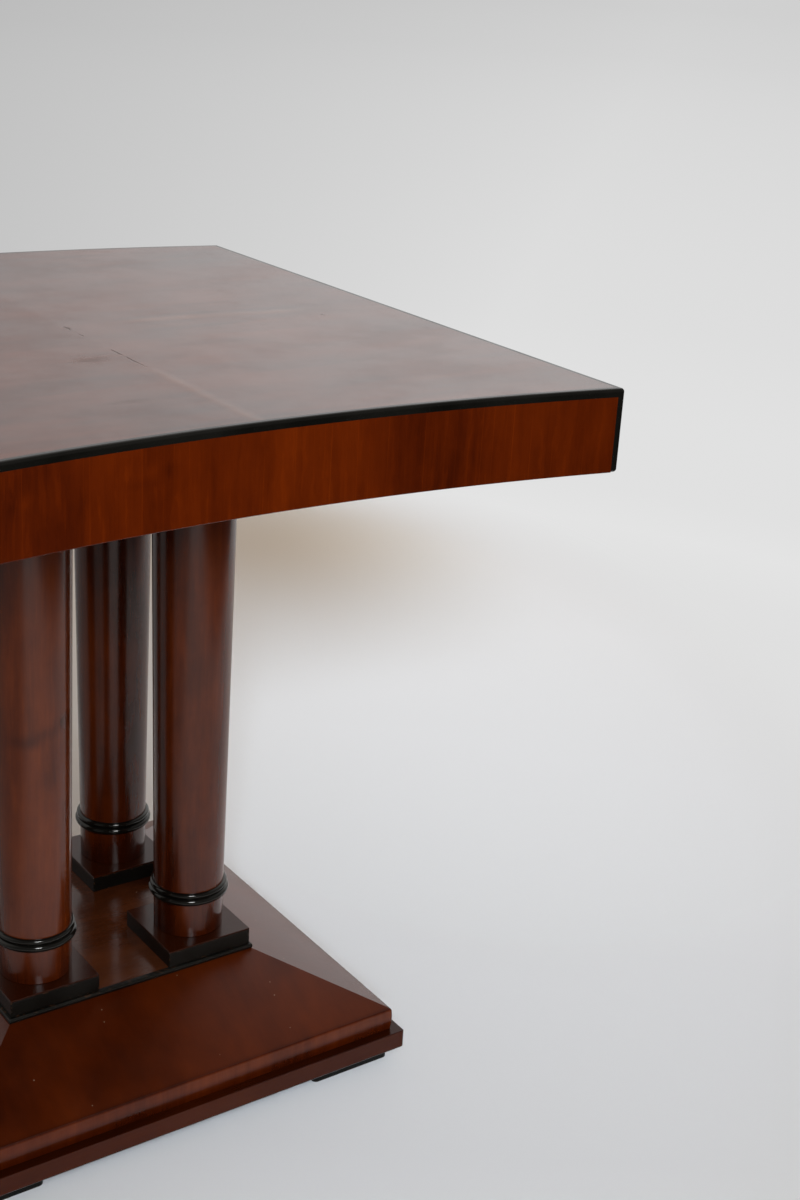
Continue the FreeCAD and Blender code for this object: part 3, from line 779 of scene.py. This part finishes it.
def make_ring(corner, axis, foot, head):
    """A ring of two beads, the lower one larger, whose bore follows the taper of the shaft."""
    low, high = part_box("ring_" + corner)
    taper = (head[0] - foot[0]) / (head[1] - foot[1])
    bore_low, bore_high = [foot[0] + taper * (level - foot[1]) for level in (low.z, high.z)]
    low_seat = (high.x - low.x) / 2.0 - LOW_BEAD
    high_seat = bore_high + HIGH_BEAD_OUT
    waist = low.z + 2.0 * LOW_BEAD
    profile = [(bore_low, low.z)]
    profile += arc((low_seat, low.z + LOW_BEAD), LOW_BEAD, -90.0, BEAD_MEET, BEAD_STEPS)
    profile += arc((high_seat, waist + HIGH_BEAD), HIGH_BEAD, -BEAD_MEET, 90.0, BEAD_STEPS)
    profile += [(bore_high, high.z)]
    turned("ring." + corner, profile, axis, black_ring, ["ring_" + corner])


for corner in CORNERS:
    block_low, block_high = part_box("block_" + corner)
    axis = (block_low + block_high) / 2.0
    foot, head = shaft_ends("column_" + corner)
    make_column(corner, axis, foot, head)
    make_ring(corner, axis, foot, head)
    slab("block." + corner, "block_" + corner, black_wood)
    slab("block_cap." + corner, "block_cap_" + corner, cap_wood,
         low_round=CAP_LOW_ROUND, high_round=CAP_HIGH_ROUND)
    slab("foot." + corner, "foot_" + corner, black_foot, plan_radius=FOOT_CORNER)

# Base: plinth board, moulding band, sloping panels and black platform edge
PLINTH_CORNER = 2.0 * MM
PLINTH_LOW_ROUND = 2.5 * MM
PLINTH_HIGH_ROUND = 0.8 * MM
HIP_BEND = 0.8 * MM
SLOPE_WALL = 24.0 * MM
MOULD_BEND = 1.5 * MM
MOULD_WALL = 22.0 * MM
MOULD_SPARE = 0.2 * MM
SHOULDER = 3.5 * MM
BELLY = 75.0 * MM
BELLY_TOP = math.radians(6.0)
FACE_STEPS = 16
EDGE_BEND = 0.6 * MM
EDGE_WALL = 4.0 * MM
EDGE_RISE = 0.8 * MM
EDGE_WEAR = 1.3 * MM
EDGE_STEPS = 12

mould_low, mould_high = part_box("moulding_front")
edge_low, edge_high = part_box("platform_edge_front")
slope_low, slope_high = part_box("slope_front")
edge_reach = -edge_low.y - EDGE_RISE
slope_reach = -slope_low.y
mould_face = -mould_low.y - MOULD_SPARE
fall = math.atan2(slope_high.z - slope_low.z, slope_reach - edge_reach)


def bowed(reach, low, high, rise):
    """Points up a face that swells outwards by rise between its lower and upper edges."""
    tall = high - low
    radius = (tall * tall / 4.0 + rise * rise) / (2.0 * rise)
    points = []
    for step in range(EDGE_STEPS + 1):
        height = low + tall * step / EDGE_STEPS
        off = height - (low + high) / 2.0
        points.append((reach + math.sqrt(radius * radius - off * off) - radius + rise, height))
    return points


def moulding_face():
    """Face of the moulding from the slope down: a tight shoulder, then a wide belly that leans in."""
    up_slope = math.pi / 2.0 - fall
    inner = BELLY - SHOULDER
    shoulder_reach = mould_face - BELLY + inner * math.cos(BELLY_TOP)
    touch_reach = shoulder_reach + SHOULDER * math.cos(up_slope)
    touch_z = slope_low.z + (slope_reach - touch_reach) * math.tan(fall)
    shoulder_z = touch_z - SHOULDER * math.sin(up_slope)
    belly_z = shoulder_z - inner * math.sin(BELLY_TOP)
    foot_angle = math.asin((mould_low.z - belly_z) / BELLY)
    start, middle, end = [math.degrees(angle) for angle in (up_slope, BELLY_TOP, foot_angle)]
    shoulder = arc((shoulder_reach, shoulder_z), SHOULDER, start, middle, FACE_STEPS)
    belly = arc((mould_face - BELLY, belly_z), BELLY, middle, end, FACE_STEPS)
    return shoulder + belly[1:]


def split_face():
    """Points of the face above and below the joint of slope and moulding, with a shared joint point."""
    points = moulding_face()
    upper = [point for point in points if point[1] > slope_low.z]
    lower = [point for point in points if point[1] < slope_low.z]
    first, second = upper[-1], lower[0]
    part = (first[1] - slope_low.z) / (first[1] - second[1])
    joint = (first[0] + (second[0] - first[0]) * part, slope_low.z)
    return upper + [joint], [joint] + lower


slab("plinth.board", "plinth", board_wood, plan_radius=PLINTH_CORNER,
     low_round=PLINTH_LOW_ROUND, high_round=PLINTH_HIGH_ROUND)
upper_face, lower_face = split_face()
band = list(reversed(lower_face)) + [
    (slope_reach - MOULD_WALL, mould_high.z),
    (slope_reach - MOULD_WALL, mould_low.z),
]
edging = bowed(edge_reach, edge_low.z, edge_high.z, EDGE_RISE) + [
    (edge_reach - EDGE_WALL, edge_high.z),
    (edge_reach - EDGE_WALL, edge_low.z),
]
panel = list(reversed(upper_face)) + [
    (edge_reach, slope_high.z),
    (edge_reach - SLOPE_WALL, slope_high.z),
    (slope_reach - SLOPE_WALL, slope_low.z),
]
for side, turn in SIDES:
    facing = side in ("front", "back")
    slope_wood = slope_front_wood if facing else slope_side_wood
    mould_wood = mould_front_wood if facing else mould_side_wood
    frame_side("moulding." + side, "moulding_" + side, turn, band, MOULD_BEND, mould_wood)
    frame_side("platform_edge." + side, "platform_edge_" + side, turn, edging, EDGE_BEND, black_edge,
               worn_from=edge_high.z - EDGE_WEAR)
    frame_side("slope." + side, "slope_" + side, turn, panel, HIP_BEND, slope_wood)

# Nodes of the frame that keep their shape and take a better finish
FINISHES = (
    ("top_veneer_", top_wood),
    ("lipping_", black_wood),
    ("apron_", apron_wood),
    ("corner_strip_", black_wood),
    ("platform", platform_wood),
    ("top_panel", core_wood),
)
for node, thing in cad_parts.items():
    for start, material in FINISHES:
        if node.startswith(start) and not thing.hide_render:
            thing.data.materials.clear()
            thing.data.materials.append(material)

# Stage: a pale floor that fades into a pale surround. A fall is two bounds and the factors there.
FLOOR_REACH = 40.0
VIEW_TURN = math.radians(36.6)
INTO_SCENE = (math.sin(VIEW_TURN), math.cos(VIEW_TURN), 0.0)
TO_RIGHT = (math.cos(VIEW_TURN), -math.sin(VIEW_TURN), 0.0)
LEFT_FALL = (-0.3, 0.15, 0.738, 1.0)

# Metres of depth or distance that the levels of the floor cover
STOPS_LOW = -3.0
STOPS_HIGH = 27.0

# Floor near the table: its level by depth into the scene, graded as painted light and shade, and a
# warmer, darker place that is painted warm shade in the table's cast shadow
NEAR_BY_DEPTH = (
    (-3.00, 0.72),
    (-0.80, 0.70),
    (-0.40, 0.64),
    (-0.24, 0.605),
    (0.00, 0.665),
    (0.15, 0.70),
    (0.30, 0.755),
    (0.55, 0.82),
    (0.80, 0.875),
    (1.10, 0.94),
    (1.50, 0.97),
)
WARM_SHADOW_PLACE = (0.97, 1.11, 0.0)
WARM_SHADOW_REACH = (0.26, 0.26, 0.26)
WARM_SHADOW_COLOUR = (0.95, 0.885, 0.795)

# Floor further off: a glow whose level by distance paints the fall of light, and the ellipse where it
# takes over from the near floor
FAR_BY_DISTANCE = (
    (0.50, 0.59),
    (0.72, 0.60),
    (0.85, 0.66),
    (1.00, 0.70),
    (1.25, 0.735),
    (1.55, 0.745),
    (1.80, 0.772),
    (2.06, 0.750),
    (2.60, 0.752),
    (3.60, 0.730),
    (6.7, 0.708),
    (9.5, 0.692),
    (14.7, 0.658),
    (25.0, 0.631),
)
NEAR_MIDDLE = (0.40, 0.40, 0.0)
NEAR_WAY = (0.52, 0.85)
NEAR_LONG = 1.1
NEAR_WIDE = 0.68
NEAR_ALONG = (NEAR_WAY[0] / NEAR_LONG, NEAR_WAY[1] / NEAR_LONG, 0.0)
NEAR_ACROSS = (NEAR_WAY[1] / NEAR_WIDE, -NEAR_WAY[0] / NEAR_WIDE, 0.0)
NEAR_FADE = (0.95, 1.3)

# Dimmer floor that shows only in the polish and in stray light: start, outward way, fade and level
DIM_EDGES = (
    ((-0.66, -0.70, 0.0), (-0.916, 0.401, 0.0), (-0.17, 0.15), 0.27),
    ((0.60, -1.03, 0.0), (0.648, -0.762, 0.0), (-0.15, 0.12), 0.04),
)
# Painted shadow: a darker warm glow where the table's shadow lies on the floor behind it to the right,
# shown only in the polish and in stray light
POLISH_SHADOW_PLACE = (0.75, 0.65, 0.0)
POLISH_SHADOW_FALL = (0.3, 0.9, 0.6, 0.0)
POLISH_SHADOW_COLOUR = (0.42, 0.34, 0.29)


def floor_level(graph, distance, stops):
    """Grey level of the floor at a distance, between stops of metres and levels."""
    place = graph.fit(distance, STOPS_LOW, STOPS_HIGH, smooth=False)
    span = STOPS_HIGH - STOPS_LOW
    return graph.ramp(place, [((at - STOPS_LOW) / span, (level,) * 3) for at, level in stops])


def left_fall(graph, way):
    """Factor of the surround in a level direction, lower towards the left as a painted fall of light."""
    return graph.fit(graph.vector("DOT_PRODUCT", way, TO_RIGHT), *LEFT_FALL, smooth=False)


def emission(graph, colour):
    """Plain glow of a colour."""
    return graph.add("Emission", {"Color": colour, "Strength": 1.0})


def near_floor(graph, raw):
    """Lit floor near the table, which takes its shadow; its level is graded as painted light and
    shade, with painted warm shade in the table's cast shadow.
    """
    level = floor_level(graph, graph.vector("DOT_PRODUCT", raw, INTO_SCENE), NEAR_BY_DEPTH)
    # Painted warm shade where the table's cast shadow falls
    warm_shadow = graph.bell(graph.distance(raw, WARM_SHADOW_PLACE, WARM_SHADOW_REACH))
    hue = graph.mix(warm_shadow, WHITE, WARM_SHADOW_COLOUR)
    return graph.add("BsdfDiffuse", {"Color": graph.vector("MULTIPLY", level, hue)})


def far_floor(graph, raw):
    """Floor further off: a glow at the pale tones of the surround, whose level paints the fall of
    light across it.
    """
    level = floor_level(graph, graph.vector("LENGTH", raw), FAR_BY_DISTANCE)
    return emission(graph, graph.product(level, left_fall(graph, graph.vector("NORMALIZE", raw))))


def far_share(graph, raw):
    """Share of the far floor: 0 inside the ellipse and 1 well outside it."""
    off_middle = graph.vector("SUBTRACT", raw, NEAR_MIDDLE)
    along = graph.vector("DOT_PRODUCT", off_middle, NEAR_ALONG)
    across = graph.vector("DOT_PRODUCT", off_middle, NEAR_ACROSS)
    spread = graph.add("CombineXYZ", {"X": along, "Y": across}).outputs[0]
    return graph.fit(graph.vector("LENGTH", spread), *NEAR_FADE)


def floor_material():
    """Near and far floor, with the dimmer places that only the polish and stray light show, one of
    them a painted shadow.
    """
    material, graph, raw = new_material("floor")
    path = graph.add("LightPath").outputs
    shown = graph.math("MAXIMUM", path["Is Camera Ray"], path["Is Glossy Ray"])
    unseen = graph.math("SUBTRACT", 1.0, path["Is Camera Ray"])
    share = graph.product(far_share(graph, raw), shown)
    shader = graph.blend(share, near_floor(graph, raw), far_floor(graph, raw))
    for start, outward, fade, level in DIM_EDGES:
        away = graph.vector("DOT_PRODUCT", graph.vector("SUBTRACT", raw, start), outward)
        dim_and_shadow = graph.product(graph.fit(away, *fade), unseen)
        shader = graph.blend(dim_and_shadow, shader, emission(graph, (level, level, level, 1.0)))
    # Painted shadow behind the table, for the polish and stray light only
    dim_and_shadow = graph.product(graph.fit(graph.distance(raw, POLISH_SHADOW_PLACE), *POLISH_SHADOW_FALL), unseen)
    graph.finish(graph.blend(dim_and_shadow, shader, emission(graph, (*POLISH_SHADOW_COLOUR, 1.0))))
    return material


def make_floor():
    """One large square under the table."""
    mesh = bpy.data.meshes.new("floor")
    corners = [(x * FLOOR_REACH, y * FLOOR_REACH, 0.0) for x, y in ((-1, -1), (1, -1), (1, 1), (-1, 1))]
    mesh.from_pydata(corners, [], [(0, 1, 2, 3)])
    mesh.materials.append(floor_material())
    made = bpy.data.objects.new("floor", mesh)
    bpy.context.scene.collection.objects.link(made)
    return made


# Surround: soft light on the table, its image in the polish, and the pale tone behind
AMBIENT = 0.46
AMBIENT_COLOUR = (1.03, 0.90, 0.79)
AMBIENT_SIDE_FALL = (-0.6, 0.8, 0.6, 1.3)
MIRROR_SIDE_FALL = (0.25, 0.65, 0.56, 1.05)
MIRROR_FRONT_FALL = (-0.3, 0.5, 0.2, 1.0)
MIRROR_LOW_FALL = (0.16, 0.28, 0.93, 1.17)
FAR_PALE = 0.63


def make_world():
    """The surround, with its own strength for light, for reflections and for what is seen directly."""
    world = bpy.data.worlds.new("studio")
    bpy.context.scene.world = world
    graph = Graph(world)
    way = graph.add("TexCoord").outputs["Generated"]
    axes = graph.axes(way)
    path = graph.add("LightPath").outputs
    ambient = graph.product(graph.fit(axes["X"], *AMBIENT_SIDE_FALL), AMBIENT)
    mirrored = graph.product(
        graph.fit(axes["X"], *MIRROR_SIDE_FALL),
        graph.fit(axes["Y"], *MIRROR_FRONT_FALL),
        graph.fit(axes["Z"], *MIRROR_LOW_FALL),
    )
    pale = graph.product(left_fall(graph, way), FAR_PALE)
    soft, shine, seen = [
        graph.add("Background", {"Color": (*colour, 1.0), "Strength": strength})
        for colour, strength in ((AMBIENT_COLOUR, ambient), (WHITE, mirrored), (WHITE, pale))
    ]
    unseen = graph.blend(path["Is Glossy Ray"], soft, shine)
    graph.finish(graph.blend(path["Is Camera Ray"], unseen, seen), "OutputWorld")


# Lamps: sizes in metres, power in watts, spread in degrees
KEY_LAMP = {
    "place": (-0.44, -1.62, 1.36), "target": (0.0, 0.0, 0.4), "size": (0.45, 0.35), "power": 20.0,
    "colour": (0.94, 1.0, 1.07),
}
FLOOR_LAMP = {
    "place": (-1.98, -4.22, 2.76), "target": (1.25, 1.05, 0.0), "size": (1.20, 0.95), "power": 8.7,
    "colour": (0.87, 1.0, 1.13), "spread": 28.0,
}
FILL_LAMP = {
    "place": (1.6, 1.8, 2.2), "target": (0.0, 0.0, 0.3), "size": (2.0, 2.0), "power": 50.0,
    "colour": WHITE,
}


def add_light(name, place, target, size, power, colour, spread=180.0, mirrored=True, receivers=None):
    """A rectangular lamp turned to a target, on all things or only on its receivers."""
    lamp = bpy.data.lights.new(name, "AREA")
    lamp.shape = "RECTANGLE"
    lamp.size, lamp.size_y = size
    lamp.energy = power
    lamp.color = colour
    lamp.spread = math.radians(spread)
    light = bpy.data.objects.new(name, lamp)
    light.location = place
    light.rotation_euler = (Vector(target) - Vector(place)).to_track_quat("-Z", "Y").to_euler()
    light.visible_glossy = mirrored
    bpy.context.scene.collection.objects.link(light)
    if receivers:
        group = bpy.data.collections.new(name + "_receivers")
        for thing in receivers:
            group.objects.link(thing)
        light.light_linking.receiver_collection = group


floor = make_floor()
make_world()
pieces = [thing for thing in bpy.context.scene.objects if thing.type == "MESH" and thing != floor]
add_light("key", **KEY_LAMP)
add_light("floor_wash", **FLOOR_LAMP, mirrored=False, receivers=[floor])
add_light("fill", **FILL_LAMP, mirrored=False, receivers=pieces)

# Camera at the photograph's viewing angle
CAMERA_PLACE = Vector((-0.66945, -1.40922, 1.05744))
CAMERA_YAW = math.radians(36.5598)
CAMERA_PITCH = math.radians(21.1123)
CAMERA_ROLL = math.radians(3.5016)
CAMERA_LENS = 53.41
SENSOR_WIDTH = 36.0


def make_camera():
    """Camera turned by yaw, pitch and roll; yaw 0 looks along +Y and the pitch is downwards."""
    data = bpy.data.cameras.new("camera")
    data.lens = CAMERA_LENS
    data.sensor_width = SENSOR_WIDTH
    ahead = Vector((
        math.sin(CAMERA_YAW) * math.cos(CAMERA_PITCH),
        math.cos(CAMERA_YAW) * math.cos(CAMERA_PITCH),
        -math.sin(CAMERA_PITCH),
    ))
    level = Vector((math.cos(CAMERA_YAW), -math.sin(CAMERA_YAW), 0.0))
    upright = level.cross(ahead)
    right = math.cos(CAMERA_ROLL) * level + math.sin(CAMERA_ROLL) * upright
    up = -math.sin(CAMERA_ROLL) * level + math.cos(CAMERA_ROLL) * upright
    turn = Matrix((right, up, -ahead)).transposed().to_4x4()
    camera = bpy.data.objects.new("camera", data)
    camera.matrix_world = Matrix.Translation(CAMERA_PLACE) @ turn
    bpy.context.scene.collection.objects.link(camera)
    bpy.context.scene.camera = camera


make_camera()
bpy.context.scene.view_settings.view_transform = "Standard"
